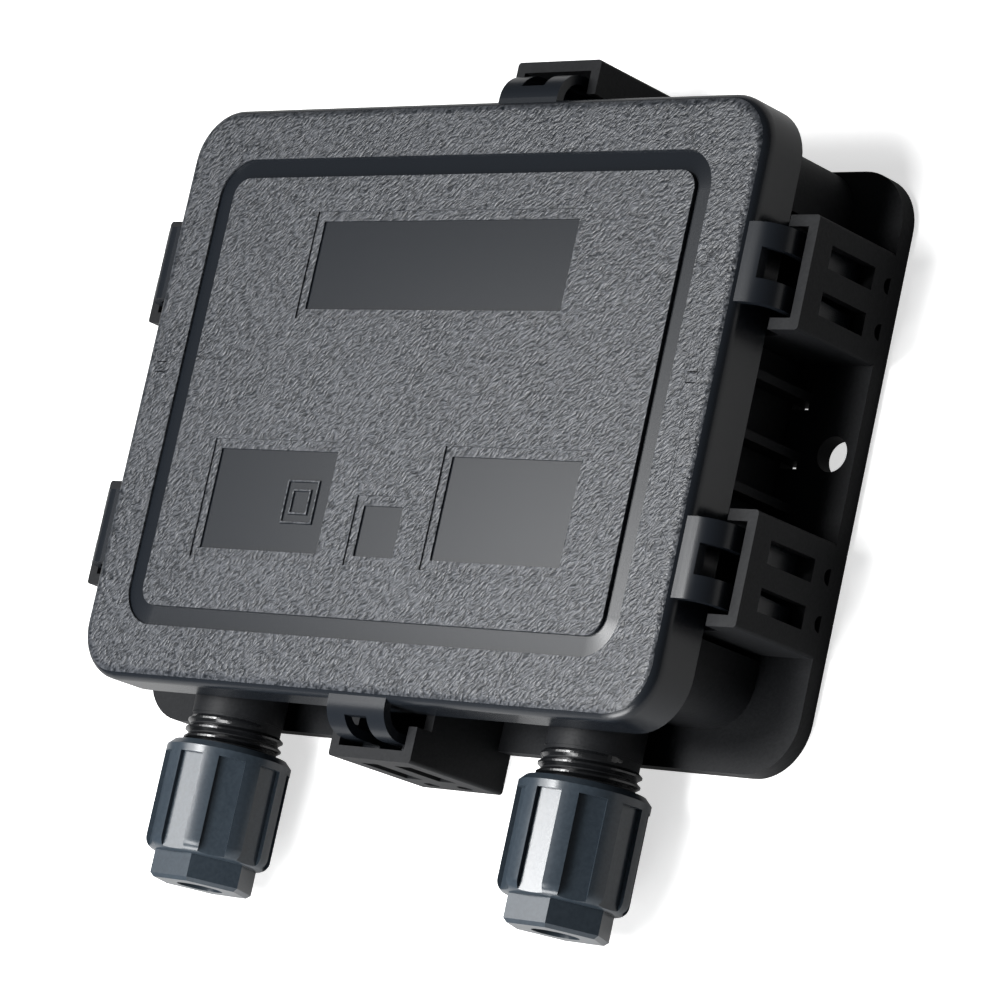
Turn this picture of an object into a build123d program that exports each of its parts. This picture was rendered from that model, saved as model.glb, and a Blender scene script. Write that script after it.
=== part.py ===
"""Solar panel junction box: flanged base, clip-on lid, two cable glands and the fittings inside.

Millimetres. The back face of the mounting flange is z = 0 and the lid faces +Z.
+Y is up the box, and the two cable glands point along -Y.
"""
from build123d import *
import os

os.makedirs("parts", exist_ok=True)

# Overall sizes
box_height = 27.6
lid_width = 125.0
lid_height = 97.2
lid_corner = 9.0
lid_plate = 2.4
lid_edge_round = 2.2
skirt_depth = 8.7
skirt_wall = 1.5
skirt_gap = 0.3

# Mounting flange
flange_thickness = 3.0
flange_width = 141.4
flange_top = 44.0
flange_bottom = 50.4
flange_corner = 9.0
fixing_hole_radius = 2.8
fixing_hole_spacing = 132.6
fixing_hole_y = -0.7

# Base tray
tray_inset = 6.3
tray_corner = 6.0
tray_wall = 2.2
rim_depth = 4.0
gasket_thickness = 1.7
gasket_width = 3.0
gasket_inset = 1.7
corner_wall = 2.0
rib_wall = 1.4
rib_positions = (16.0, 7.8, -1.5, -9.5)
slot_length = 3.2
slot_width = 1.0
window_width = 72.0
window_length = 12.0
window_y = 28.0
window_corner = 2.0

# Latches
latch_length = 17.8
latch_wall = 1.8
latch_reach = 8.2
latch_front_drop = 6.0
latch_open_from = 2.5
latch_window_width = 3.6
latch_window_offset = 3.6
latch_window_front = 4.0
latch_window_length = 10.6
latch_notch_radius = 1.3
tongue_width = 12.4
tongue_gap = 4.8
tongue_gap_from = 2.4
tongue_thickness = 1.5
tongue_drop = 0.7
tongue_bend = 5.0
barb_clearance = 0.3
barb_height = 0.8
side_latch_high = 22.0
side_latch_low = -23.3
top_latch_x = 11.0
bottom_latch_x = 2.8

# Lid face
groove_width = 107.0
groove_height = 79.0
groove_corner = 6.5
groove_band = 3.3
groove_depth = 0.4
groove_slope = 0.35
label_depth = 0.3
label_frame = 1.6
locating_rib = 1.5
locating_depth = 4.0
fit_gap = 0.3

# Cable glands
gland_x = 39.0
gland_z = 11.1
collar_radius = 7.5
collar_end = 51.0
stub_end = 66.0
thread_root_radius = 7.35
thread_crest_radius = 8.0
thread_clearance = 0.2
cable_radius = 3.0
passage_radius = 4.0
seal_radius = 5.6
seal_start = 58.5
seal_proud = 1.5
nut_start = 56.0
nut_shoulder = 74.2
nut_hex_length = 4.4
nut_radius = 10.25
nut_chamfer = 1.0
nut_round = 2.0
nut_hex_chamfer = 0.6
nut_hex_across = 14.8
nut_hole_radius = 3.75
nut_flutes = 9
flute_width = 4.4
flute_depth = 1.0
flute_margin = 2.2
claw_wall = 1.6
claw_gap = 0.25
nut_tip_wall = 2.0

# Terminals
rail_count = 4
rail_pitch = 26.0
rail_width = 14.0
rail_thickness = 1.2
rail_top_y = 19.0
rail_short_y = -8.0
rail_long_y = -27.0
pedestal_height = 5.0
pedestal_inset = 1.0
rail_screw_y = -4.0
rail_screw_radius = 1.5
rail_screw_head = 2.8
rail_screw_head_height = 2.0
rail_screw_length = 6.0
screw_clearance = 0.1
clip_width = 9.0
clip_depth = 6.0
clip_sheet = 0.6
clip_clearance = 0.05
lug_width = 6.0
lug_height = 5.0
lug_sheet = 1.2
lug_inset = 1.0
diode_y = 6.0
diode_radius = 3.2
diode_length = 9.5
lead_radius = 0.6
lead_overhang = 1.0
clamp_y = -20.0
clamp_length = 8.0
clamp_width = 12.0
clamp_thickness = 1.5
clamp_screw_radius = 2.0
clamp_head_radius = 3.5
clamp_head_height = 2.6
clamp_shank = 6.0
slot_drive_width = 1.0
slot_drive_depth = 1.1

# Places that follow from the sizes above
tray_width = lid_width - 2 * tray_inset
tray_height = lid_height - 2 * tray_inset
skirt_rear = box_height - skirt_depth
lid_under = box_height - lid_plate
skirt_inner_width = lid_width - 2 * skirt_wall
skirt_inner_height = lid_height - 2 * skirt_wall
rim_width = skirt_inner_width - 2 * skirt_gap
rim_height = skirt_inner_height - 2 * skirt_gap
rim_corner = lid_corner - skirt_wall - skirt_gap
rim_top = lid_under - gasket_thickness
inner_width = tray_width - 2 * tray_wall
inner_height = tray_height - 2 * tray_wall
inner_corner = tray_corner - tray_wall
panel_width = groove_width - 2 * groove_band
panel_height = groove_height - 2 * groove_band
latch_front = box_height - latch_front_drop
latch_face_inner = latch_reach - latch_wall
window_front = latch_front - latch_window_front
flange_length = flange_top + flange_bottom
flange_centre_y = (flange_top - flange_bottom) / 2
rail_xs = [(index - (rail_count - 1) / 2) * rail_pitch for index in range(rail_count)]
rail_z = flange_thickness + pedestal_height
rail_face = rail_z + rail_thickness
diode_z = rail_face + lug_height
nut_bore_radius = thread_crest_radius + thread_clearance
nut_end = nut_shoulder + nut_hex_length

# Latch places: each is on the edge of the lid, with local +Y pointing away from the box
latch_places = [
    Location((lid_width / 2, side_latch_high, 0), (0, 0, -90)),
    Location((lid_width / 2, side_latch_low, 0), (0, 0, -90)),
    Location((-lid_width / 2, side_latch_high, 0), (0, 0, 90)),
    Location((-lid_width / 2, side_latch_low, 0), (0, 0, 90)),
    Location((top_latch_x, lid_height / 2, 0), (0, 0, 0)),
    Location((bottom_latch_x, -lid_height / 2, 0), (0, 0, 180)),
]
latch_root_depths = [(lid_width - tray_width) / 2] * 4 + [(lid_height - tray_height) / 2] * 2


def latch_housing(root_depth):
    """One U-shaped latch box: outer wall with two windows, side walls back to the tray."""
    with BuildPart() as housing:
        with BuildSketch(Plane.XY):
            with Locations((0, (latch_reach - root_depth) / 2)):
                Rectangle(latch_length, latch_reach + root_depth)
        extrude(amount=latch_front)
        fillet(housing.edges().filter_by(Axis.Z).group_by(Axis.Y)[-1], 0.6)
        with BuildSketch(Plane.XY.offset(flange_thickness)):
            with Locations((0, (latch_face_inner - root_depth) / 2)):
                Rectangle(latch_length - 2 * latch_wall, latch_face_inner + root_depth)
        extrude(amount=latch_front, mode=Mode.SUBTRACT)
        with BuildSketch(Plane.XY.offset(skirt_rear - 2 * fit_gap)):
            with Locations((0, (latch_open_from - root_depth) / 2)):
                Rectangle(latch_length + 1, latch_open_from + root_depth)
        extrude(amount=latch_front, mode=Mode.SUBTRACT)
        with BuildSketch(Plane.XZ.offset(-latch_reach)):
            with Locations((0, window_front - latch_window_length / 2)):
                with GridLocations(2 * latch_window_offset, 1, 2, 1):
                    Rectangle(latch_window_width, latch_window_length)
            with Locations((0, flange_thickness)):
                with GridLocations(2 * latch_window_offset, 1, 2, 1):
                    Circle(latch_notch_radius)
        extrude(amount=latch_wall, mode=Mode.SUBTRACT)
    return housing.part


def latch_tongue():
    """One forked tongue: out of the lid's edge, round a bend and down into the latch box."""
    leg_outer = latch_face_inner - barb_clearance - barb_height
    leg_inner = leg_outer - tongue_thickness
    start_z = box_height - tongue_drop
    bend_z = start_z - tongue_bend
    bend_y = leg_outer - tongue_bend
    barb_top = window_front - barb_clearance
    barb_tip = leg_outer + barb_height
    leg_end = window_front - latch_window_length
    with BuildPart() as tongue:
        with BuildSketch(Plane.YZ.offset(-tongue_width / 2)):
            with BuildLine():
                Line((-skirt_wall / 2, start_z), (bend_y, start_z))
                RadiusArc((bend_y, start_z), (leg_outer, bend_z), tongue_bend)
                Polyline(
                    (leg_outer, bend_z),
                    (leg_outer, barb_top),
                    (barb_tip, barb_top),
                    (barb_tip, barb_top - tongue_thickness),
                    (leg_outer, leg_end + tongue_thickness),
                    (leg_outer, leg_end),
                    (leg_inner, leg_end),
                    (leg_inner, bend_z),
                )
                RadiusArc((leg_inner, bend_z), (bend_y, start_z - tongue_thickness),
                          tongue_thickness - tongue_bend)
                Line((bend_y, start_z - tongue_thickness), (-skirt_wall / 2, start_z - tongue_thickness))
                Line((-skirt_wall / 2, start_z - tongue_thickness), (-skirt_wall / 2, start_z))
            make_face()
        extrude(amount=tongue_width)
        with BuildSketch(Plane.XY.offset(leg_end)):
            with Locations((0, (tongue_gap_from + latch_reach) / 2)):
                Rectangle(tongue_gap, latch_reach - tongue_gap_from)
        extrude(amount=start_z - leg_end, mode=Mode.SUBTRACT)
    return tongue.part


housings = [latch_housing(depth) for depth in latch_root_depths]
tongue_shape = latch_tongue()

# Base: flange, tray, rim, corner walls, latch boxes, ribs, rail pedestals and gland stubs, one moulding
with BuildPart() as base_housing:
    with BuildSketch(Plane.XY):
        with Locations((0, flange_centre_y)):
            RectangleRounded(flange_width, flange_length, flange_corner)
    extrude(amount=flange_thickness)
    with BuildSketch(Plane.XY.offset(flange_thickness)):
        RectangleRounded(rim_width, 2 * flange_top, rim_corner)
        RectangleRounded(rim_width - 2 * corner_wall, 2 * (flange_top - corner_wall),
                         rim_corner - corner_wall, mode=Mode.SUBTRACT)
        Rectangle(rim_width - 4 * rim_corner, rim_height, mode=Mode.SUBTRACT)
        Rectangle(rim_width, 2 * flange_top - 3 * rim_corner, mode=Mode.SUBTRACT)
    extrude(amount=rim_top - rim_depth / 2 - flange_thickness)
    with BuildSketch(Plane.XY.offset(flange_thickness)):
        RectangleRounded(tray_width, tray_height, tray_corner)
    extrude(amount=rim_top - flange_thickness)
    with BuildSketch(Plane.XY.offset(rim_top - rim_depth)):
        RectangleRounded(rim_width, rim_height, rim_corner)
    extrude(amount=rim_depth)
    for place, housing in zip(latch_places, housings):
        with Locations(place):
            add(housing)
    # Ribs between the two latches of each long side
    with BuildSketch(Plane.XY.offset(flange_thickness)):
        for rib_y in rib_positions:
            with Locations((0, rib_y)):
                Rectangle(rim_width - 2 * skirt_gap, rib_wall)
    extrude(amount=rim_top - rim_depth - flange_thickness)
    # Gland collars
    with BuildSketch(Plane.XZ.offset(tray_height / 2 - tray_wall)):
        with Locations((-gland_x, gland_z), (gland_x, gland_z)):
            Circle(collar_radius)
    extrude(amount=collar_end - tray_height / 2 + tray_wall)
    with BuildSketch(Plane.XZ.offset(collar_end)):
        with Locations((-gland_x, gland_z), (gland_x, gland_z)):
            Circle(thread_root_radius)
    extrude(amount=stub_end - collar_end)
    # Cavity
    with BuildSketch(Plane.XY.offset(flange_thickness)):
        RectangleRounded(inner_width, inner_height, inner_corner)
    extrude(amount=rim_top, mode=Mode.SUBTRACT)
    # Ribbon window through the floor
    with BuildSketch(Plane.XY):
        with Locations((0, window_y)):
            RectangleRounded(window_width, window_length, window_corner)
    extrude(amount=flange_thickness, mode=Mode.SUBTRACT)
    # Rail pedestals
    with BuildSketch(Plane.XY.offset(flange_thickness)):
        for index, rail_x in enumerate(rail_xs):
            is_outer = index in (0, rail_count - 1)
            low_y = (rail_long_y if is_outer else rail_short_y) + pedestal_inset
            high_y = rail_top_y - clip_depth - pedestal_inset
            with Locations((rail_x, (low_y + high_y) / 2)):
                Rectangle(rail_width - 2 * pedestal_inset, high_y - low_y)
    extrude(amount=pedestal_height)
    with BuildSketch(Plane.XY.offset(rail_z)):
        with Locations(*[(rail_x, rail_screw_y) for rail_x in rail_xs]):
            Circle(rail_screw_radius + screw_clearance)
    extrude(amount=-(rail_screw_length - rail_thickness + screw_clearance), mode=Mode.SUBTRACT)
    with BuildSketch(Plane.XY.offset(rail_z)):
        with Locations((rail_xs[0], clamp_y), (rail_xs[-1], clamp_y)):
            Circle(clamp_screw_radius + screw_clearance)
    extrude(amount=-(clamp_shank - rail_thickness - clamp_thickness + fit_gap), mode=Mode.SUBTRACT)
    # Fixing holes and rib slots through the flange
    with BuildSketch(Plane.XY):
        with Locations((-fixing_hole_spacing / 2, fixing_hole_y), (fixing_hole_spacing / 2, fixing_hole_y)):
            Circle(fixing_hole_radius)
        for rib_y in rib_positions[1:3]:
            with Locations((0, rib_y - rib_wall / 2 - slot_width / 2)):
                with GridLocations(tray_width + slot_length + 1, 1, 2, 1):
                    Rectangle(slot_length, slot_width)
    extrude(amount=flange_thickness, mode=Mode.SUBTRACT)
    # Cable passages and seal seats
    with BuildSketch(Plane.XZ.offset(tray_height / 2 - 2 * tray_wall)):
        with Locations((-gland_x, gland_z), (gland_x, gland_z)):
            Circle(passage_radius)
    extrude(amount=stub_end, mode=Mode.SUBTRACT)
    with BuildSketch(Plane.XZ.offset(seal_start)):
        with Locations((-gland_x, gland_z), (gland_x, gland_z)):
            Circle(seal_radius + clip_clearance)
    extrude(amount=stub_end - seal_start, mode=Mode.SUBTRACT)
base_housing.part.label = "base_housing"
export_step(base_housing.part, "parts/base_housing.step")

# Lid: plate, skirt, sunk groove, four label recesses, locating rib and six forked tongues, one moulding
label_areas = (
    (0.2, 21.3, 58.9, 18.0),
    (-26.1, -17.9, 29.9, 19.8),
    (-0.2, -22.1, 11.8, 11.4),
    (25.7, -17.9, 30.2, 19.8),
)
with BuildPart() as lid:
    with BuildSketch(Plane.XY.offset(skirt_rear)):
        RectangleRounded(lid_width, lid_height, lid_corner)
    extrude(amount=skirt_depth)
    fillet(lid.faces().sort_by(Axis.Z)[-1].edges(), lid_edge_round)
    with BuildSketch(Plane.XY.offset(skirt_rear)):
        RectangleRounded(skirt_inner_width, skirt_inner_height, lid_corner - skirt_wall)
    extrude(amount=skirt_depth - lid_plate, mode=Mode.SUBTRACT)
    with BuildSketch(Plane.XY.offset(lid_under - locating_depth)):
        RectangleRounded(inner_width - 2 * fit_gap, inner_height - 2 * fit_gap, inner_corner)
        RectangleRounded(inner_width - 2 * fit_gap - 2 * locating_rib,
                         inner_height - 2 * fit_gap - 2 * locating_rib,
                         inner_corner - locating_rib, mode=Mode.SUBTRACT)
    extrude(amount=locating_depth)
    for place in latch_places:
        with Locations(place):
            add(tongue_shape)
    with BuildSketch(Plane.XY.offset(box_height)):
        RectangleRounded(groove_width, groove_height, groove_corner)
    extrude(amount=-groove_depth, mode=Mode.SUBTRACT)
    with BuildSketch(Plane.XY.offset(box_height - groove_depth)):
        RectangleRounded(groove_width, groove_height, groove_corner)
    with BuildSketch(Plane.XY.offset(box_height - groove_depth - groove_slope)):
        RectangleRounded(panel_width, panel_height, groove_corner - groove_band)
    loft(mode=Mode.SUBTRACT)
    with BuildSketch(Plane.XY.offset(box_height - groove_depth - groove_slope)):
        RectangleRounded(panel_width, panel_height, groove_corner - groove_band)
    extrude(amount=groove_depth + groove_slope)
    with BuildSketch(Plane.XY.offset(box_height)):
        for centre_x, centre_y, width, height in label_areas:
            with Locations((centre_x, centre_y)):
                Rectangle(width, height)
    extrude(amount=-label_depth, mode=Mode.SUBTRACT)
    with BuildSketch(Plane.XY.offset(box_height - label_depth)):
        for centre_x, centre_y, width, height in label_areas:
            with Locations((centre_x, centre_y)):
                Rectangle(width - 2 * label_frame, height - 2 * label_frame)
    extrude(amount=-label_depth, mode=Mode.SUBTRACT)
lid.part.label = "lid"
export_step(lid.part, "parts/lid.step")

# Gasket: a flat rubber frame on the rim, under the lid plate
with BuildPart() as lid_gasket:
    with BuildSketch(Plane.XY.offset(rim_top)):
        RectangleRounded(rim_width - 2 * gasket_inset, rim_height - 2 * gasket_inset,
                         rim_corner - gasket_inset)
        RectangleRounded(rim_width - 2 * gasket_inset - 2 * gasket_width,
                         rim_height - 2 * gasket_inset - 2 * gasket_width,
                         rim_corner - gasket_inset - gasket_width, mode=Mode.SUBTRACT)
    extrude(amount=gasket_thickness)
lid_gasket.part.label = "lid_gasket"
export_step(lid_gasket.part, "parts/lid_gasket.step")


def make_rail(index, rail_x):
    """Terminal rail: copper strip with a lead lug on each side that faces another rail."""
    is_outer = index in (0, rail_count - 1)
    low_y = rail_long_y if is_outer else rail_short_y
    lug_sides = [side for side in (-1, 1) if not (is_outer and side * rail_x > 0)]
    with BuildPart() as rail:
        with BuildSketch(Plane.XY.offset(rail_z)):
            with Locations((rail_x, (low_y + rail_top_y) / 2)):
                RectangleRounded(rail_width, rail_top_y - low_y, 1.0)
            with Locations((rail_x, rail_screw_y)):
                Circle(rail_screw_radius + screw_clearance, mode=Mode.SUBTRACT)
            if is_outer:
                with Locations((rail_x, clamp_y)):
                    Circle(clamp_screw_radius + screw_clearance, mode=Mode.SUBTRACT)
        extrude(amount=rail_thickness)
        for side in lug_sides:
            lug_x = rail_x + side * (rail_width / 2 - lug_inset - lug_sheet / 2)
            with BuildSketch(Plane.YZ.offset(lug_x - lug_sheet / 2)):
                with Locations((diode_y, rail_face + lug_height / 2 + lead_radius)):
                    Rectangle(lug_width, lug_height + 2 * lead_radius)
                with Locations((diode_y, diode_z + lead_radius)):
                    Rectangle(2 * (lead_radius + clip_clearance), 2 * lead_radius, mode=Mode.SUBTRACT)
                with Locations((diode_y, diode_z)):
                    Circle(lead_radius + clip_clearance, mode=Mode.SUBTRACT)
            extrude(amount=lug_sheet)
    rail.part.label = f"terminal_rail_{index + 1}"
    export_step(rail.part, f"parts/terminal_rail_{index + 1}.step")


def make_ribbon_clip(index, rail_x):
    """Ribbon clip: a sheet folded into a U over the top end of a rail."""
    outer_low = rail_z - clip_clearance - clip_sheet
    outer_high = rail_face + clip_clearance + clip_sheet
    front_y = rail_top_y + clip_clearance + clip_sheet
    back_y = rail_top_y - clip_depth
    with BuildPart() as clip:
        with BuildSketch(Plane.YZ.offset(rail_x - clip_width / 2)):
            with BuildLine():
                Polyline(
                    (back_y, outer_low),
                    (front_y, outer_low),
                    (front_y, outer_high),
                    (back_y, outer_high),
                    (back_y, outer_high - clip_sheet),
                    (front_y - clip_sheet, outer_high - clip_sheet),
                    (front_y - clip_sheet, outer_low + clip_sheet),
                    (back_y, outer_low + clip_sheet),
                    close=True,
                )
            make_face()
        extrude(amount=clip_width)
        fillet(clip.edges().filter_by(Axis.X).group_by(Axis.Y)[-1], clip_sheet * 0.8)
    clip.part.label = f"ribbon_clip_{index + 1}"
    export_step(clip.part, f"parts/ribbon_clip_{index + 1}.step")


for index, rail_x in enumerate(rail_xs):
    make_rail(index, rail_x)
    make_ribbon_clip(index, rail_x)


def make_diode(index, left_x, right_x):
    """Bypass diode: round body with its two leads lying in the lugs of neighbouring rails."""
    centre_x = (left_x + right_x) / 2
    lead_end = (right_x - left_x) / 2 - rail_width / 2 + lug_inset + lug_sheet + lead_overhang
    with BuildPart() as diode:
        with BuildSketch(Plane.YZ.offset(centre_x - diode_length / 2)):
            with Locations((diode_y, diode_z)):
                Circle(diode_radius)
        extrude(amount=diode_length)
        fillet(diode.edges().filter_by(GeomType.CIRCLE), 0.5)
        with BuildSketch(Plane.YZ.offset(centre_x - lead_end)):
            with Locations((diode_y, diode_z)):
                Circle(lead_radius)
        extrude(amount=2 * lead_end)
    diode.part.label = f"bypass_diode_{index + 1}"
    export_step(diode.part, f"parts/bypass_diode_{index + 1}.step")


for index in range(rail_count - 1):
    make_diode(index, rail_xs[index], rail_xs[index + 1])

# Rail screws: four self-tapping screws that hold the rails on their pedestals
with BuildPart() as rail_screws:
    with BuildSketch(Plane.XY.offset(rail_face)):
        with Locations(*[(rail_x, rail_screw_y) for rail_x in rail_xs]):
            Circle(rail_screw_head)
    extrude(amount=rail_screw_head_height)
    with BuildSketch(Plane.XY.offset(rail_face)):
        with Locations(*[(rail_x, rail_screw_y) for rail_x in rail_xs]):
            Circle(rail_screw_radius)
    extrude(amount=-rail_screw_length)
    with BuildSketch(Plane.XY.offset(rail_face + rail_screw_head_height)):
        with Locations(*[(rail_x, rail_screw_y) for rail_x in rail_xs]):
            Rectangle(2 * rail_screw_head, slot_drive_width)
            Rectangle(slot_drive_width, 2 * rail_screw_head)
    extrude(amount=-slot_drive_depth, mode=Mode.SUBTRACT)
rail_screws.part.label = "rail_screws"
export_step(rail_screws.part, "parts/rail_screws.step")


def make_clamp(side, rail_x):
    """Cable clamp of an outer rail: a pressure plate and the slotted screw that drives it."""
    plate_top = rail_face + clamp_thickness
    with BuildPart() as plate:
        with BuildSketch(Plane.XY.offset(rail_face)):
            with Locations((rail_x, clamp_y)):
                RectangleRounded(clamp_width, clamp_length, 1.0)
                Circle(clamp_screw_radius + screw_clearance, mode=Mode.SUBTRACT)
        extrude(amount=clamp_thickness)
    plate.part.label = f"clamp_plate_{side}"
    export_step(plate.part, f"parts/clamp_plate_{side}.step")
    with BuildPart() as screw:
        with BuildSketch(Plane.XY.offset(plate_top)):
            with Locations((rail_x, clamp_y)):
                Circle(clamp_head_radius)
        extrude(amount=clamp_head_height)
        with BuildSketch(Plane.XY.offset(plate_top)):
            with Locations((rail_x, clamp_y)):
                Circle(clamp_screw_radius)
        extrude(amount=-clamp_shank)
        with BuildSketch(Plane.XY.offset(plate_top + clamp_head_height)):
            with Locations((rail_x, clamp_y)):
                Rectangle(2 * clamp_head_radius, slot_drive_width)
        extrude(amount=-slot_drive_depth, mode=Mode.SUBTRACT)
    screw.part.label = f"clamp_screw_{side}"
    export_step(screw.part, f"parts/clamp_screw_{side}.step")


def make_gland(side, axis_x):
    """Seal, claw ring and fluted nut of one cable gland, about an axis that points along -Y."""
    axis_plane = Plane(origin=(axis_x, 0, gland_z))
    gland_axis = Axis((axis_x, 0, gland_z), (0, -1, 0))
    seal_end = stub_end + seal_proud
    claw_start = seal_end + claw_gap
    claw_end = nut_end - claw_wall - claw_gap - nut_tip_wall
    claw_small = nut_hole_radius + claw_wall
    claw_large = seal_radius + claw_wall
    with BuildPart() as seal:
        with BuildSketch(axis_plane):
            with BuildLine():
                Polyline(
                    (cable_radius, -seal_start - clip_clearance),
                    (seal_radius, -seal_start - clip_clearance),
                    (seal_radius, -seal_end),
                    (cable_radius, -seal_end),
                    close=True,
                )
            make_face()
        revolve(axis=gland_axis)
    seal.part.label = f"gland_seal_{side}"
    export_step(seal.part, f"parts/gland_seal_{side}.step")
    with BuildPart() as claw:
        with BuildSketch(axis_plane):
            with BuildLine():
                Polyline(
                    (claw_large - claw_wall, -claw_start),
                    (claw_large, -claw_start),
                    (claw_small, -claw_end),
                    (claw_small - claw_wall, -claw_end),
                    close=True,
                )
            make_face()
        revolve(axis=gland_axis)
    claw.part.label = f"gland_claw_{side}"
    export_step(claw.part, f"parts/gland_claw_{side}.step")
    with BuildPart() as nut:
        with BuildSketch(Plane.XZ.offset(nut_start)):
            with Locations((axis_x, gland_z)):
                Circle(nut_radius)
        extrude(amount=nut_shoulder - nut_start)
        chamfer(nut.edges().filter_by(GeomType.CIRCLE).sort_by(Axis.Y)[-1], nut_chamfer)
        fillet(nut.edges().filter_by(GeomType.CIRCLE).sort_by(Axis.Y)[0], nut_round)
        with BuildSketch(Plane.XZ.offset(nut_start + flute_margin)):
            with Locations((axis_x, gland_z)):
                with PolarLocations(nut_radius, nut_flutes):
                    Rectangle(2 * flute_depth, flute_width)
        extrude(amount=nut_shoulder - nut_start - flute_margin, mode=Mode.SUBTRACT)
        with BuildSketch(Plane.XZ.offset(nut_shoulder)):
            with Locations((axis_x, gland_z)):
                RegularPolygon(nut_hex_across / 2, 6, major_radius=False)
        extrude(amount=nut_hex_length)
        chamfer(nut.faces().sort_by(Axis.Y)[0].edges(), nut_hex_chamfer)
        with BuildSketch(axis_plane):
            with BuildLine():
                Polyline(
                    (0, -nut_start),
                    (nut_bore_radius, -nut_start),
                    (nut_bore_radius, -claw_start),
                    (claw_large + claw_gap, -claw_start),
                    (claw_small + claw_gap, -claw_end - claw_gap),
                    (nut_hole_radius, -claw_end - claw_gap),
                    (nut_hole_radius, -nut_end),
                    (0, -nut_end),
                    close=True,
                )
            make_face()
        revolve(axis=gland_axis, mode=Mode.SUBTRACT)
    nut.part.label = f"gland_nut_{side}"
    export_step(nut.part, f"parts/gland_nut_{side}.step")


for side, sign in (("left", -1), ("right", 1)):
    make_clamp(side, sign * rail_xs[-1])
    make_gland(side, sign * gland_x)
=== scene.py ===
# %% [markdown]
# # A solar panel junction box
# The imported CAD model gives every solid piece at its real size. This script dresses those pieces,
# adds the fine forms that a mould leaves on them (threads and signs), and lights them.
# Everything is in metres, in the CAD model's own frame: +Z out of the lid, +Y up the box.

# %% Load the frame
import math

import bpy
import numpy as np
from mathutils import Matrix, Vector


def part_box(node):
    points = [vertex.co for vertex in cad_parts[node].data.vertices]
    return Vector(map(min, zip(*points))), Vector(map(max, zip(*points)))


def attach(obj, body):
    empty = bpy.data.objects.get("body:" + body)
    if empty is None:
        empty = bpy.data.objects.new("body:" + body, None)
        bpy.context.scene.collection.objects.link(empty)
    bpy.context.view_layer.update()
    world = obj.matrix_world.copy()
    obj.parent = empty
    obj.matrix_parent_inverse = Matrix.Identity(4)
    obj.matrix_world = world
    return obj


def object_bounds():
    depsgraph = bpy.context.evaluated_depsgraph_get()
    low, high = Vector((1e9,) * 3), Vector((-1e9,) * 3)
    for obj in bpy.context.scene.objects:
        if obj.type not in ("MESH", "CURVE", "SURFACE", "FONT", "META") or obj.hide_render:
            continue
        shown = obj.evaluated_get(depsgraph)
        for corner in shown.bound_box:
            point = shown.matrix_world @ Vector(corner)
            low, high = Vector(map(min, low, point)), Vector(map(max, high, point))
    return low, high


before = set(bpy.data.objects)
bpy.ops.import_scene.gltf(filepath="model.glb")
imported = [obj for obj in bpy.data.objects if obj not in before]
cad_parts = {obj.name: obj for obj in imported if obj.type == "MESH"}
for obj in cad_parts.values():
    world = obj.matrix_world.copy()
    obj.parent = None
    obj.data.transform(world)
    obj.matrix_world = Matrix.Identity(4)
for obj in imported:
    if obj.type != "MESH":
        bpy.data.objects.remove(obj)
cad_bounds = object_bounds()
MM = 0.001
print("CAD box, mm:", [[round(v / MM, 2) for v in corner] for corner in cad_bounds])

# %% [markdown]
# Places come from the frame. The lid's own box gives its face, and each gland nut's box gives the
# axis of its gland. The grain stops between the lid's face and the floors of its recesses.

# %% Places read from the frame
lid_high = Vector(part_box("lid")[1])
nut_boxes = {side: tuple(Vector(c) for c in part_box(f"gland_nut_{side}")) for side in ("left", "right")}
LID_FACE = lid_high.z
GRAIN_FLOOR = LID_FACE - 0.35 * MM
LABEL_FLOOR = LID_FACE - 0.6 * MM
print("lid face at z, mm:", round(LID_FACE / MM, 2))


# %% [markdown]
# New pieces are surfaces worked out with numpy. A piece is a grid of points: rows of a closed
# profile, carried along a path. One helper joins any such grid with quads, closing it round the
# profile, and round the path where the path is a loop. The other makes the mesh object.

# %% Mesh helpers
def mesh_piece(name, vertices, faces, smooth=True):
    """A mesh object from an array of points and a list of faces, lying at the origin."""
    mesh = bpy.data.meshes.new(name)
    mesh.from_pydata([tuple(v) for v in np.asarray(vertices)], [], faces)
    mesh.validate()
    mesh.update()
    mesh.polygons.foreach_set("use_smooth", np.full(len(mesh.polygons), smooth))
    piece = bpy.data.objects.new(name, mesh)
    bpy.context.scene.collection.objects.link(piece)
    return piece


def grid_faces(rows, columns, close_rows):
    """Quads between neighbouring rows of a grid whose columns always close on themselves.

    Row i, column j is point i * columns + j. The quad joins it to the next column, the next row's
    next column and the next row's same column.
    """
    i = np.arange(rows if close_rows else rows - 1)[:, None]
    j = np.arange(columns)[None, :]
    a = i * columns + j
    b = i * columns + (j + 1) % columns
    c = ((i + 1) % rows) * columns + (j + 1) % columns
    d = ((i + 1) % rows) * columns + j
    faces = np.stack([a, b, c, d], axis=-1).reshape(-1, 4).tolist()
    if not close_rows:
        faces.append(list(range(columns))[::-1])
        faces.append(list(range((rows - 1) * columns, rows * columns)))
    return faces


print("mesh helpers ready")

# %% [markdown]
# The gland stubs carry an M16 thread. A thread is one ridge that winds round the root cylinder, so
# it can be made as a trapezoid profile carried along a helix. A screw modifier would do it too,
# but the direct grid lets the ridge run in and run out: its height grows over the first half turn
# and shrinks over the last.

# %% Gland threads
THREAD_ROOT = 7.3 * MM
THREAD_CREST = 8.0 * MM
THREAD_PITCH = 1.5 * MM
THREAD_STEPS = 72
# Half widths of the ridge, in pitches
FOOT_HALF = 0.46
CREST_HALF = 0.10
# Turns over which the ridge grows, and the share of its height that it starts with
RUN_IN = 0.5
LEAST_FADE = 0.02
STUB_START = -51.0 * MM
STUB_END = -66.0 * MM


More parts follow.
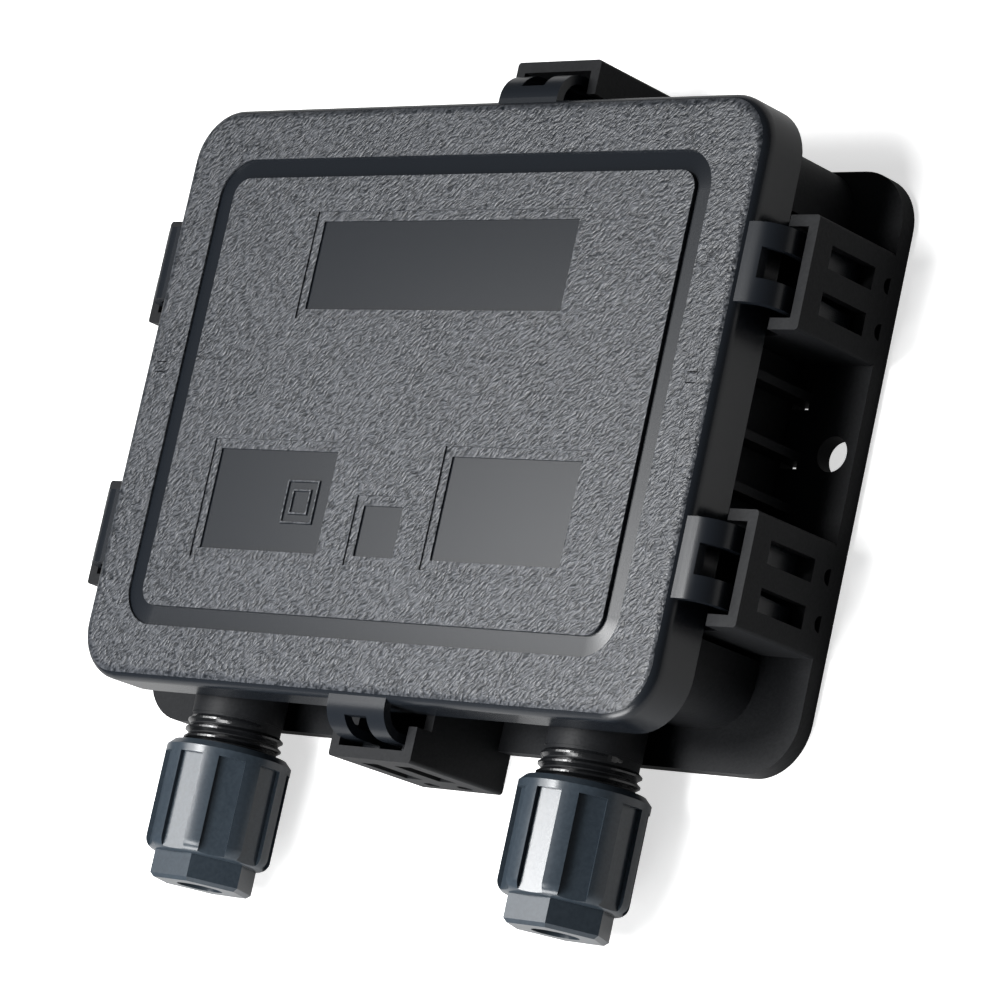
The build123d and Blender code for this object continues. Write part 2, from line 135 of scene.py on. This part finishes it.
def gland_thread(side):
    """Helical ridge of one gland stub.

    At turn t the ridge is centred at y = start - pitch * (t + 1/2), and its profile is a trapezoid:
    foot points on the root radius, crest points on root + height * fade(t), where fade rises from
    almost 0 to 1 over the first half turn and falls again over the last.
    """
    low, high = nut_boxes[side]
    axis_x = (low.x + high.x) / 2
    axis_z = (low.z + high.z) / 2
    turns = (STUB_START - STUB_END) / THREAD_PITCH - 1.0
    t = np.linspace(0.0, turns, int(turns * THREAD_STEPS) + 1)
    fade = np.clip(np.minimum(t, turns - t) / RUN_IN, LEAST_FADE, 1.0)
    angle = 2 * np.pi * t
    centre_y = STUB_START - THREAD_PITCH * (t + 0.5)
    offsets = np.array([-FOOT_HALF, -CREST_HALF, CREST_HALF, FOOT_HALF]) * THREAD_PITCH
    heights = np.array([0.0, 1.0, 1.0, 0.0])
    radius = THREAD_ROOT + (THREAD_CREST - THREAD_ROOT) * heights[None, :] * fade[:, None]
    x = axis_x + radius * np.cos(angle)[:, None]
    z = axis_z + radius * np.sin(angle)[:, None]
    y = centre_y[:, None] + offsets[None, :] * np.ones_like(radius)
    points = np.stack([x, y, z], axis=-1).reshape(-1, 3)
    piece = mesh_piece(f"gland_thread_{side}", points, grid_faces(len(t), 4, False), smooth=False)
    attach(piece, "base")
    print(piece.name, "turns", round(turns, 1), "faces", len(piece.data.polygons))
    return piece


threads = [gland_thread(side) for side in ("left", "right")]

# %% [markdown]
# The mould leaves signs on the lid's rim as thin raised lines: six arrows, a screwdriver on the
# left and on the right, and a plus and a minus over the two glands. Each line is a low ridge:
# a trapezoid profile carried along a flat path. At a corner the profile is widened by the mitre,
# so that the line keeps its width.

# %% Raised lines
LINE_WIDTH = 0.34 * MM
LINE_HEIGHT = 0.04 * MM
LINE_SINK = 0.05 * MM
LEAST_MITRE_COSINE = 0.4


def ridge_points(path, closed, width, height, base_z):
    """Points of a low ridge along a flat path, four for each path point.

    The side direction at a path point is the mean of its two runs' normals, divided by the cosine
    of half the turn (the mitre). Feet lie at plus and minus half the width, a little below base_z,
    and the top at plus and minus a quarter, height above base_z.
    """
    path = np.asarray(path, float)
    ahead = np.roll(path, -1, axis=0) - path
    behind = path - np.roll(path, 1, axis=0)
    if not closed:
        ahead[-1] = behind[-1]
        behind[0] = ahead[0]
    ahead /= np.linalg.norm(ahead, axis=1)[:, None]
    behind /= np.linalg.norm(behind, axis=1)[:, None]
    mean = ahead + behind
    mean /= np.linalg.norm(mean, axis=1)[:, None]
    normal = np.stack([-mean[:, 1], mean[:, 0]], axis=1)
    mitre = 1.0 / np.clip(np.sum(mean * ahead, axis=1), LEAST_MITRE_COSINE, 1.0)
    side = np.array([-0.5, -0.25, 0.25, 0.5]) * width
    lift = np.array([-LINE_SINK, height, height, -LINE_SINK])
    xy = path[:, None, :] + normal[:, None, :] * (side[None, :, None] * mitre[:, None, None])
    z = base_z + np.broadcast_to(lift, xy.shape[:2])
    return np.concatenate([xy, z[..., None]], axis=-1).reshape(-1, 3)


def raised_lines(name, paths, width=LINE_WIDTH, height=LINE_HEIGHT, base_z=LID_FACE):
    """One piece from several ridges. paths is a list of (points in mm, closed)."""
    vertices = []
    faces = []
    count = 0
    for path, closed in paths:
        points = ridge_points(np.asarray(path) * MM, closed, width, height, base_z)
        rows = len(points) // 4
        faces += [[count + index for index in face] for face in grid_faces(rows, 4, closed)]
        vertices.append(points)
        count += len(points)
    piece = mesh_piece(name, np.concatenate(vertices), faces, smooth=False)
    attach(piece, "lid")
    return piece


def turned(points, centre, degrees):
    """Points turned about the origin by an angle and moved to a centre, all in mm."""
    a = math.radians(degrees)
    spin = np.array([[math.cos(a), math.sin(a)], [-math.sin(a), math.cos(a)]])
    return np.asarray(points, float) @ spin + np.asarray(centre, float)


print("line width, mm:", round(LINE_WIDTH / MM, 2))

# %% [markdown]
# The signs are drawn in millimetres about their own centres and then put on the lid. The arrows
# point outwards, one above, one below and two on each side, with a screwdriver between those two.
# The double square stands on the floor of the left label recess.

# %% Rim signs
SIDE_ARROW_X = 57.9
DRIVER_WIDTH = 0.26 * MM
ARROW = [(-1.1, -2.2), (1.1, -2.2), (1.1, 0.2), (2.1, 0.2), (0.0, 2.2), (-2.1, 0.2), (-1.1, 0.2)]
arrow_places = [
    ((0.9, 44.2), 0), ((0.6, -44.4), 180),
    ((SIDE_ARROW_X, 22.5), -90), ((SIDE_ARROW_X, -22.0), -90),
    ((-SIDE_ARROW_X, 22.5), 90), ((-SIDE_ARROW_X, -22.0), 90),
]
rim_arrows = raised_lines("rim_arrows", [(turned(ARROW, c, d), True) for c, d in arrow_places])


def screwdriver(centre):
    """Outline of a screwdriver: fluted handle, collar, ferrule and a long blade, pointing down."""
    handle = [(-1.45, 12.2), (1.45, 12.2), (1.6, 5.6), (-1.6, 5.6)]
    collar = [(-1.0, 5.6), (1.0, 5.6), (1.0, 3.9), (-1.0, 3.9)]
    ferrule = [(-1.5, 3.9), (1.5, 3.9), (1.7, 2.3), (-1.7, 2.3)]
    flutes = [([(x, 11.9), (x * 1.1, 5.9)], False) for x in (-0.7, 0.0, 0.7)]
    notches = [([(x, 3.7), (x, 2.5)], False) for x in (-0.55, 0.55)]
    blade = [([(x, 2.3), (x * 0.6, -11.8)], False) for x in (-0.35, 0.35)]
    tip = [([(-0.45, -12.6), (0.45, -12.6), (0.45, -11.8), (-0.45, -11.8)], True)]
    shapes = [(handle, True), (collar, True), (ferrule, True)] + flutes + notches + blade + tip
    return [(turned(points, centre, 0), closed) for points, closed in shapes]


rim_drivers = raised_lines("rim_screwdrivers", screwdriver((57.6, -1.0)) + screwdriver((-58.2, -1.0)),
                           width=DRIVER_WIDTH)
POLE_X = 40.7
POLE_Y = -44.0
POLE_HALF = 0.9
rim_poles = raised_lines("rim_pole_marks", [
    ([(-POLE_X - POLE_HALF, POLE_Y), (-POLE_X + POLE_HALF, POLE_Y)], False),
    ([(-POLE_X, POLE_Y - POLE_HALF), (-POLE_X, POLE_Y + POLE_HALF)], False),
    ([(POLE_X - POLE_HALF, POLE_Y), (POLE_X + POLE_HALF, POLE_Y)], False),
])
SQUARE_CENTRE = (-19.0, -17.9)
SQUARE_HALVES = (3.4, 1.9)
square_sign = raised_lines("double_square_sign", [
    (turned([(-s, -s), (s, -s), (s, s), (-s, s)], SQUARE_CENTRE, 0), True) for s in SQUARE_HALVES
], width=0.5 * MM, height=0.3 * MM, base_z=LABEL_FLOOR)
print("rim signs done")

# %% [markdown]
# Each bypass diode wears a pale ring at its cathode end, printed on its round body. It is a thin
# band: a closed rectangle profile carried round the body.

# %% Diode rings
RING_STEPS = 48
RING_START = 2.4 * MM
RING_END = 3.6 * MM
RING_SINK = 0.05 * MM


def diode_ring(index):
    """Band round a diode: angle a gives y and z on a circle, the profile gives radius and x."""
    low, high = (Vector(c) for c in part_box(f"bypass_diode_{index}"))
    centre = (low + high) / 2
    body_radius = (high.z - low.z) / 2
    a = np.linspace(0, 2 * np.pi, RING_STEPS, endpoint=False)
    profile_r = body_radius + np.array([-RING_SINK, 0.0, 0.0, -RING_SINK])
    profile_x = centre.x + np.array([RING_START, RING_START, RING_END, RING_END])
    y = centre.y + profile_r[None, :] * np.cos(a)[:, None]
    z = centre.z + profile_r[None, :] * np.sin(a)[:, None]
    x = np.broadcast_to(profile_x, y.shape)
    points = np.stack([x, y, z], axis=-1).reshape(-1, 3)
    ring = mesh_piece(f"diode_ring_{index}", points, grid_faces(len(a), 4, True), smooth=False)
    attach(ring, "base")
    return ring


diode_rings = [diode_ring(index) for index in (1, 2, 3)]
print("diode rings:", len(diode_rings))

# %% [markdown]
# Moulded plastic looks real through its grain. The grain is used by several materials, so it is a
# node group: a noise that is stretched along a diagonal and bent by a second noise, which gives the
# short wavy ridges that a spark-eroded mould leaves. It puts out a height and a slow patchiness.

# %% Shader group: moulded grain
BEND_SCALE = 420.0
BEND_REACH = 1.2 * MM
GRAIN_TURN = math.radians(-40)
PATCH_SCALE = 60.0


def new_group(name, inputs, outputs):
    """An empty shader node group with named sockets. inputs maps a name to (type, default)."""
    group = bpy.data.node_groups.new(name, "ShaderNodeTree")
    for socket_name, (kind, default) in inputs.items():
        socket = group.interface.new_socket(socket_name, in_out="INPUT", socket_type=kind)
        socket.default_value = default
    for socket_name, kind in outputs.items():
        group.interface.new_socket(socket_name, in_out="OUTPUT", socket_type=kind)
    return group, group.nodes.new("NodeGroupInput"), group.nodes.new("NodeGroupOutput")


def math_node(tree, operation, first, second=None, third=None, clamp=False):
    """A Math node; each operand is a socket or a number."""
    node = tree.nodes.new("ShaderNodeMath")
    node.operation = operation
    node.use_clamp = clamp
    for index, value in enumerate((first, second, third)):
        if value is None:
            continue
        if isinstance(value, bpy.types.NodeSocket):
            tree.links.new(value, node.inputs[index])
        else:
            node.inputs[index].default_value = value
    return node.outputs[0]


def build_grain_group():
    """Grain height: fine noise on coordinates that are turned 40 degrees, squeezed and bent."""
    group, source, sink = new_group(
        "moulded_grain",
        {"Grain Size": ("NodeSocketFloat", 0.0008), "Stretch": ("NodeSocketFloat", 0.35)},
        {"Height": "NodeSocketFloat", "Patches": "NodeSocketFloat"})
    coords = group.nodes.new("ShaderNodeTexCoord").outputs["Object"]
    bend = group.nodes.new("ShaderNodeTexNoise")
    bend.inputs["Scale"].default_value = BEND_SCALE
    bend.inputs["Detail"].default_value = 1.0
    group.links.new(coords, bend.inputs["Vector"])
    turn = group.nodes.new("ShaderNodeMapping")
    turn.inputs["Rotation"].default_value = (0.0, 0.0, GRAIN_TURN)
    group.links.new(coords, turn.inputs["Vector"])
    push = group.nodes.new("ShaderNodeVectorMath")
    push.operation = "MULTIPLY_ADD"
    group.links.new(bend.outputs["Color"], push.inputs[0])
    push.inputs[1].default_value = (BEND_REACH, BEND_REACH, BEND_REACH)
    group.links.new(turn.outputs["Vector"], push.inputs[2])
    split = group.nodes.new("ShaderNodeSeparateXYZ")
    group.links.new(push.outputs[0], split.inputs[0])
    join = group.nodes.new("ShaderNodeCombineXYZ")
    squeezed = math_node(group, "MULTIPLY", split.outputs["X"], source.outputs["Stretch"])
    group.links.new(squeezed, join.inputs[0])
    group.links.new(split.outputs["Y"], join.inputs[1])
    group.links.new(split.outputs["Z"], join.inputs[2])
    fine = group.nodes.new("ShaderNodeTexNoise")
    fine.inputs["Detail"].default_value = 2.0
    fine.inputs["Roughness"].default_value = 0.55
    group.links.new(join.outputs[0], fine.inputs["Vector"])
    group.links.new(math_node(group, "DIVIDE", 1.0, source.outputs["Grain Size"]), fine.inputs["Scale"])
    slow = group.nodes.new("ShaderNodeTexNoise")
    slow.inputs["Scale"].default_value = PATCH_SCALE
    slow.inputs["Detail"].default_value = 3.0
    group.links.new(coords, slow.inputs["Vector"])
    group.links.new(fine.outputs["Fac"], sink.inputs["Height"])
    group.links.new(slow.outputs["Fac"], sink.inputs["Patches"])
    return group


grain_group = build_grain_group()
print("group", grain_group.name, "ready")

# %% [markdown]
# A finish is one material: the Principled shader holds its constant values on its own sockets,
# and the grain group drives only colour, roughness and bump, which change over the surface. The
# lid's recesses are smooth, and the shading of its groove is tilted so that it falls outwards.

# %% Material helper
GROOVE_HALF_X = 53.5 * MM
GROOVE_HALF_Y = 39.5 * MM
GROOVE_CORNER = 6.5 * MM
GROOVE_BAND = 3.3 * MM
GROOVE_FALL = 0.25
FAR_ABOVE = 1.0
GROOVE_CORE = (GROOVE_HALF_X - GROOVE_CORNER, GROOVE_HALF_Y - GROOVE_CORNER, FAR_ABOVE)
GROOVE_INNER = GROOVE_CORNER - GROOVE_BAND
PATCH_SHARE = 0.4
ROUGH_SWING = 0.12
COAT_ROUGHNESS = 0.18
METAL_GRAIN = 0.3 * MM
METAL_SWING = 0.25
METAL_DROP = 0.12
METAL_RELIEF = 0.008 * MM


def groove_slant(tree, coords):
    """Height of the groove's floor in metres, falling outwards across the groove.

    With p the point, d = |max(|p| - core, 0)| is its distance from the rectangle that the groove's
    corner arcs are struck from. The height is -GROOVE_FALL * (d - inner), with d held between the
    groove's inner and outer edges. The core lies far above p, so that z never counts.
    """
    vector = coords
    for operation, operand in (("ABSOLUTE", None), ("SUBTRACT", GROOVE_CORE), ("MAXIMUM", (0.0, 0.0, 0.0))):
        node = tree.nodes.new("ShaderNodeVectorMath")
        node.operation = operation
        tree.links.new(vector, node.inputs[0])
        if operand:
            node.inputs[1].default_value = operand
        vector = node.outputs["Vector"]
    length = tree.nodes.new("ShaderNodeVectorMath")
    length.operation = "LENGTH"
    tree.links.new(vector, length.inputs[0])
    distance = math_node(tree, "MINIMUM", length.outputs["Value"], GROOVE_CORNER)
    distance = math_node(tree, "MAXIMUM", distance, GROOVE_INNER)
    return math_node(tree, "MULTIPLY", math_node(tree, "SUBTRACT", distance, GROOVE_INNER), -GROOVE_FALL)


def plastic(name, dark, light, roughness, grain_size, bump, stretch=0.35, specular=0.5, coat=0.0,
            contrast=1.0, polish=None):
    """Moulded plastic. Colour runs from dark to light with the grain; bump is its depth in metres.

    The grain's height is stretched about its middle by the contrast. With polish, a pair of a
    colour share and a roughness, the grain shows on the lid's face alone, where the surface is
    higher than GRAIN_FLOOR. Elsewhere the plastic takes those two values, and the groove is tilted.
    """
    material = bpy.data.materials.new(name)
    material.use_nodes = True
    tree = material.node_tree
    shader = tree.nodes["Principled BSDF"]
    shader.inputs["Specular IOR Level"].default_value = specular
    if coat:
        shader.inputs["Coat Weight"].default_value = coat
        shader.inputs["Coat Roughness"].default_value = COAT_ROUGHNESS
    grain = tree.nodes.new("ShaderNodeGroup")
    grain.node_tree = grain_group
    grain.inputs["Grain Size"].default_value = grain_size
    grain.inputs["Stretch"].default_value = stretch
    height = math_node(tree, "MULTIPLY_ADD", grain.outputs["Height"], contrast, 0.5 - contrast / 2)
    patch = math_node(tree, "MULTIPLY_ADD", grain.outputs["Patches"], PATCH_SHARE, -PATCH_SHARE / 2)
    blend = math_node(tree, "ADD", height, patch, clamp=True)
    rough = math_node(tree, "MULTIPLY_ADD", grain.outputs["Patches"], ROUGH_SWING,
                      roughness - ROUGH_SWING / 2)
    if polish:
        share, smoothness = polish
        coords = tree.nodes.new("ShaderNodeTexCoord")
        split = tree.nodes.new("ShaderNodeSeparateXYZ")
        tree.links.new(coords.outputs["Object"], split.inputs[0])
        mask = math_node(tree, "GREATER_THAN", split.outputs["Z"], GRAIN_FLOOR)
        height = math_node(tree, "MULTIPLY", height, mask)
        bare = math_node(tree, "SUBTRACT", 1.0, mask)
        blend = math_node(tree, "ADD", math_node(tree, "MULTIPLY", blend, mask),
                          math_node(tree, "MULTIPLY", bare, share))
        rough = math_node(tree, "ADD", math_node(tree, "MULTIPLY", rough, mask),
                          math_node(tree, "MULTIPLY", bare, smoothness))
    ramp = tree.nodes.new("ShaderNodeMix")
    ramp.data_type = "RGBA"
    ramp.inputs[6].default_value = (*dark, 1.0)
    ramp.inputs[7].default_value = (*light, 1.0)
    tree.links.new(blend, ramp.inputs[0])
    tree.links.new(ramp.outputs[2], shader.inputs["Base Color"])
    tree.links.new(rough, shader.inputs["Roughness"])
    relief = tree.nodes.new("ShaderNodeBump")
    relief.inputs["Distance"].default_value = bump
    relief.inputs["Strength"].default_value = 1.0
    tree.links.new(height, relief.inputs["Height"])
    normal = relief.outputs["Normal"]
    if polish:
        slant = tree.nodes.new("ShaderNodeBump")
        slant.inputs["Distance"].default_value = 1.0
        fall = math_node(tree, "MULTIPLY", groove_slant(tree, coords.outputs["Object"]), bare)
        tree.links.new(fall, slant.inputs["Height"])
        tree.links.new(normal, slant.inputs["Normal"])
        normal = slant.outputs["Normal"]
    tree.links.new(normal, shader.inputs["Normal"])
    return material


def metal(name, colour, roughness, streak):
    """Sheet or turned metal: fine stretched noise changes the roughness a little."""
    material = bpy.data.materials.new(name)
    material.use_nodes = True
    tree = material.node_tree
    shader = tree.nodes["Principled BSDF"]
    shader.inputs["Metallic"].default_value = 1.0
    shader.inputs["Base Color"].default_value = (*colour, 1.0)
    grain = tree.nodes.new("ShaderNodeGroup")
    grain.node_tree = grain_group
    grain.inputs["Grain Size"].default_value = METAL_GRAIN
    grain.inputs["Stretch"].default_value = streak
    spread = math_node(tree, "MULTIPLY", grain.outputs["Height"], METAL_SWING)
    tree.links.new(math_node(tree, "ADD", spread, roughness - METAL_DROP), shader.inputs["Roughness"])
    relief = tree.nodes.new("ShaderNodeBump")
    relief.inputs["Distance"].default_value = METAL_RELIEF
    tree.links.new(grain.outputs["Height"], relief.inputs["Height"])
    tree.links.new(relief.outputs["Normal"], shader.inputs["Normal"])
    return material


print("groove core half sizes, mm:", [round(v / MM, 1) for v in GROOVE_CORE[:2]])

# %% [markdown]
# The lid is charcoal with a strong grain. The base is blacker and duller, the nuts are bluish and
# glossy, and the rest is rubber, tinned copper, spring steel and zinc-plated steel.
# Grain sizes and relief depths are in metres.

# %% Finishes
lid_plastic = plastic("lid_plastic", (0.001, 0.003, 0.006), (0.070, 0.075, 0.085), 0.36,
                      0.00042, 0.00006, stretch=0.45, contrast=3.6, polish=(0.10, 0.27))
base_plastic = plastic("base_plastic", (0.006, 0.0065, 0.0075), (0.016, 0.017, 0.019), 0.52,
                       0.0005, 0.00003, stretch=0.9, specular=0.18)
nut_plastic = plastic("nut_plastic", (0.018, 0.026, 0.036), (0.042, 0.056, 0.070), 0.30,
                      0.0006, 0.00001, stretch=1.0, coat=0.25)
thread_plastic = plastic("thread_plastic", (0.004, 0.004, 0.005), (0.010, 0.011, 0.012), 0.22,
                         0.0009, 0.000005, stretch=1.0, coat=0.3)
rubber = plastic("rubber", (0.010, 0.010, 0.010), (0.022, 0.022, 0.022), 0.72, 0.0005, 0.00002,
                 stretch=1.0, specular=0.3)
diode_black = plastic("diode_black", (0.008, 0.008, 0.009), (0.020, 0.020, 0.022), 0.40, 0.0004, 0.00001,
                      stretch=1.0)
ring_white = plastic("ring_white", (0.55, 0.55, 0.54), (0.70, 0.70, 0.69), 0.55, 0.0004, 0.000004,
                     stretch=1.0)
tinned_copper = metal("tinned_copper", (0.78, 0.76, 0.71), 0.34, 0.2)
spring_steel = metal("spring_steel", (0.60, 0.61, 0.63), 0.24, 0.3)
zinc_steel = metal("zinc_steel", (0.66, 0.68, 0.71), 0.36, 1.0)
print("materials:", len(bpy.data.materials))


# %% [markdown]
# A diode is one CAD solid that stands for a black body and two tinned leads. Its material tells
# them apart by the distance from the diode's axis: beyond the lead's radius it is black plastic.

# %% Diode material
LEAD_REACH = 0.75 * MM
TIN = (0.76, 0.75, 0.72, 1.0)


def diode_material():
    """Black body and tinned leads: the mask is 1 within LEAD_REACH of the axis."""
    low, high = (Vector(c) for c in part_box("bypass_diode_1"))
    centre = (low + high) / 2
    material = diode_black
    tree = material.node_tree
    shader = tree.nodes["Principled BSDF"]
    coords = tree.nodes.new("ShaderNodeTexCoord")
    split = tree.nodes.new("ShaderNodeSeparateXYZ")
    tree.links.new(coords.outputs["Object"], split.inputs[0])
    dy = math_node(tree, "SUBTRACT", split.outputs["Y"], centre.y)
    dz = math_node(tree, "SUBTRACT", split.outputs["Z"], centre.z)
    square = math_node(tree, "ADD", math_node(tree, "MULTIPLY", dy, dy),
                       math_node(tree, "MULTIPLY", dz, dz))
    lead = math_node(tree, "LESS_THAN", square, LEAD_REACH ** 2)
    colour = shader.inputs["Base Color"].links[0].from_socket
    mix = tree.nodes.new("ShaderNodeMix")
    mix.data_type = "RGBA"
    mix.inputs[7].default_value = TIN
    tree.links.new(lead, mix.inputs[0])
    tree.links.new(colour, mix.inputs[6])
    tree.links.new(mix.outputs[2], shader.inputs["Base Color"])
    tree.links.new(lead, shader.inputs["Metallic"])
    return material


diode_finish = diode_material()
print("diode material:", diode_finish.name)

# %% [markdown]
# Each CAD node and each new piece gets its finish by name. The threads wear a glossier black than
# the base that they belong to.

# %% Dress the CAD nodes
def dress(name, material):
    """Puts a material on a CAD node or a new piece, in its object's slots."""
    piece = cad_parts.get(name) or bpy.data.objects[name]
    if not piece.material_slots:
        piece.data.materials.append(material)
    for material_slot in piece.material_slots:
        material_slot.material = material


finishes = {
    "lid": lid_plastic, "base_housing": base_plastic, "lid_gasket": rubber,
    "rail_screws": zinc_steel,
}
for number in (1, 2, 3, 4):
    finishes[f"terminal_rail_{number}"] = tinned_copper
    finishes[f"ribbon_clip_{number}"] = spring_steel
for number in (1, 2, 3):
    finishes[f"bypass_diode_{number}"] = diode_finish
for side in ("left", "right"):
    finishes[f"gland_nut_{side}"] = nut_plastic
    finishes[f"gland_claw_{side}"] = nut_plastic
    finishes[f"gland_seal_{side}"] = rubber
    finishes[f"clamp_plate_{side}"] = zinc_steel
    finishes[f"clamp_screw_{side}"] = zinc_steel
for ring in diode_rings:
    finishes[ring.name] = ring_white
for thread in threads:
    finishes[thread.name] = thread_plastic
for sign in (rim_arrows, rim_drivers, rim_poles, square_sign):
    finishes[sign.name] = lid_plastic
for name, material in finishes.items():
    dress(name, material)
undressed = [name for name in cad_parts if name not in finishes]
print("dressed", len(finishes), "pieces; CAD nodes left over:", undressed)

# %% [markdown]
# The stage is a plain pale floor under the box. For camera rays it also shines a little, so that
# the open floor reads as white while the box's soft shadow stays. Other rays meet a darker floor,
# which keeps the black walls black.

# %% Floor and world
MIRRORED_FLOOR = 0.22
FLOOR_GLOW = 0.62
FLOOR_DIM = (0.14, 0.14, 0.14, 1.0)
FLOOR_PALE = (0.86, 0.86, 0.86, 1.0)
FLOOR_HALF = 6.0
WORLD_COLOUR = (0.95, 0.97, 1.0, 1.0)
WORLD_STRENGTH = 0.08


def floor_material():
    """Floor that is white for the camera, faint in mirror reflections and dim for diffuse light.

    A pale floor would throw so much light up that a black box would look grey underneath.
    """
    material = bpy.data.materials.new("floor_white")
    material.use_nodes = True
    tree = material.node_tree
    shader = tree.nodes["Principled BSDF"]
    shader.inputs["Roughness"].default_value = 0.9
    shader.inputs["Specular IOR Level"].default_value = 0.1
    shader.inputs["Emission Color"].default_value = (1.0, 1.0, 1.0, 1.0)
    paths = tree.nodes.new("ShaderNodeLightPath")
    mirrored = math_node(tree, "MULTIPLY", paths.outputs["Is Glossy Ray"], MIRRORED_FLOOR)
    seen = math_node(tree, "MAXIMUM", paths.outputs["Is Camera Ray"], mirrored)
    seen = math_node(tree, "MAXIMUM", seen, paths.outputs["Is Transmission Ray"])
    tone = tree.nodes.new("ShaderNodeMix")
    tone.data_type = "RGBA"
    tone.inputs[6].default_value = FLOOR_DIM
    tone.inputs[7].default_value = FLOOR_PALE
    tree.links.new(seen, tone.inputs[0])
    tree.links.new(tone.outputs[2], shader.inputs["Base Color"])
    tree.links.new(math_node(tree, "MULTIPLY", seen, FLOOR_GLOW), shader.inputs["Emission Strength"])
    return material


floor_z = cad_bounds[0][2]
floor = mesh_piece("floor", [(-FLOOR_HALF, -FLOOR_HALF, floor_z), (FLOOR_HALF, -FLOOR_HALF, floor_z),
                             (FLOOR_HALF, FLOOR_HALF, floor_z), (-FLOOR_HALF, FLOOR_HALF, floor_z)],
                   [[0, 1, 2, 3]], smooth=False)
floor.data.materials.append(floor_material())

world = bpy.context.scene.world or bpy.data.worlds.new("studio")
bpy.context.scene.world = world
world.use_nodes = True
world.node_tree.nodes["Background"].inputs["Color"].default_value = WORLD_COLOUR
world.node_tree.nodes["Background"].inputs["Strength"].default_value = WORLD_STRENGTH
print("floor at z, mm:", round(floor_z / MM, 2))

# %% [markdown]
# Four soft lamps do the work. The overhead lamp stands a little to the left, so that its reflection
# is strongest at the lid's right edge and fades towards the left. The key lamp adds a weaker sheen
# from the left. The near lamp brightens the lower edge, and the front lamp lights the walls that
# face the glands.

# %% Lamps
def soft_lamp(name, place, target, size, power):
    """A rectangular area lamp at a place, turned towards a target."""
    light = bpy.data.lights.new(name, "AREA")
    light.shape = "RECTANGLE"
    light.size, light.size_y = size
    light.energy = power
    lamp = bpy.data.objects.new(name, light)
    bpy.context.scene.collection.objects.link(lamp)
    direction = Vector(target) - Vector(place)
    lamp.matrix_world = Matrix.Translation(place) @ direction.to_track_quat("-Z", "Y").to_matrix().to_4x4()
    return lamp


LAMPS = (
    ("overhead_lamp", (-0.15, -0.06, 0.65), (0.0, 0.0, 0.0), (0.2, 0.2), 4.2),
    ("key_lamp", (-0.38, 0.02, 0.60), (0.0, 0.0, 0.0), (0.25, 0.25), 1.3),
    ("near_lamp", (0.0, -0.16, 0.20), (0.02, -0.04, 0.02), (0.1, 0.1), 0.35),
    ("front_lamp", (-0.10, -0.75, 0.22), (0.0, -0.04, 0.01), (0.5, 0.3), 5.0),
)
for lamp_values in LAMPS:
    soft_lamp(*lamp_values)
print("lamps:", len(LAMPS))

# %% [markdown]
# The camera looks down at the lid from the box's right side, far away through a long lens, and is
# rolled so that the box leans a little to the right.

# %% Camera
SENSOR_WIDTH = 36.0
LENS_LENGTH = 169.3
EYE = Vector((0.51512, -0.14151, 0.50309 + LID_FACE))
FORWARD = Vector((-0.685284, 0.180827, -0.705470))
DOWN = Vector((0.029729, -0.960931, -0.275185))
SHIFT_X = -0.0140
SHIFT_Y = -0.0233
CLIP_START = 0.05
CLIP_END = 30.0


def place_camera():
    """Camera from its place, its line of sight and its roll, all measured about the lid's centre."""
    right = FORWARD.cross(-DOWN).normalized()
    up = right.cross(FORWARD).normalized()
    camera = bpy.data.cameras.new("view")
    camera.sensor_width = SENSOR_WIDTH
    camera.lens = LENS_LENGTH
    camera.shift_x = SHIFT_X
    camera.shift_y = SHIFT_Y
    camera.clip_start = CLIP_START
    camera.clip_end = CLIP_END
    holder = bpy.data.objects.new("view", camera)
    bpy.context.scene.collection.objects.link(holder)
    turn = Matrix((right, up, -FORWARD)).transposed()
    holder.matrix_world = Matrix.Translation(EYE) @ turn.to_4x4()
    bpy.context.scene.camera = holder
    print("camera lens", round(camera.lens, 1))


place_camera()
bpy.context.scene.view_settings.view_transform = "Standard"
